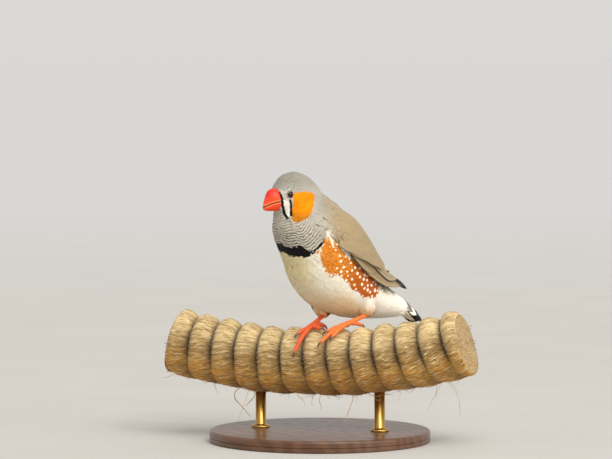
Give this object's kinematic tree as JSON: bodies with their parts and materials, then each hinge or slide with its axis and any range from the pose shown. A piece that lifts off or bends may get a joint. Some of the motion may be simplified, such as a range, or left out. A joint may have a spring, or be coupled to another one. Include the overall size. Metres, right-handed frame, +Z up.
{
  "type": "zebra finch model",
  "caption": "Still life-size zebra finch, male, gripping a cut length of wound rope that a flat base and short rods hold up",
  "frame": {"origin": "centre of the base's underside, which rests on the ground", "axes": "+Z up, -Y the way the bird's body faces, +X the bird's left"},
  "size_m": [0.1223, 0.1017, 0.1126],
  "materials": {
    "body_plumage": "soft contour feathers: grey head, barred grey breast, black breast band, cream belly, chestnut flanks with white spots",
    "wing_plumage": "matte grey-brown flight feathers and coverts with paler edges",
    "tail_plumage": "matte black tail feathers, white and black barred upper coverts, cream under coverts",
    "bill": "smooth waxy red horn",
    "eye": "wet dark brown, almost black",
    "leg_skin": "orange scaled skin with a slight sheen",
    "claw": "smooth dark horn",
    "rope": "coarse straw-coloured plant fibre, wound in tight turns",
    "base_wood": "dark wood, satin",
    "rod_metal": "satin metal"
  },
  "bodies": {
    "root": {"head": "body_plumage", "neck": "body_plumage", "torso": "body_plumage", "thigh_left": "body_plumage", "thigh_right": "body_plumage", "wing_left": "wing_plumage", "wing_right": "wing_plumage", "tail": "tail_plumage", "bill_upper": "bill", "bill_lower": "bill", "eye_left": "eye", "eye_right": "eye", "foot_left": "leg_skin", "foot_right": "leg_skin", "claw_left_1": "claw", "claw_left_2": "claw", "claw_left_3": "claw", "claw_left_4": "claw", "claw_right_1": "claw", "claw_right_2": "claw", "claw_right_3": "claw", "claw_right_4": "claw", "perch_rope": "rope", "stand_base": "base_wood", "stand_rod_1": "rod_metal", "stand_rod_2": "rod_metal"}
  },
  "joints": []
}
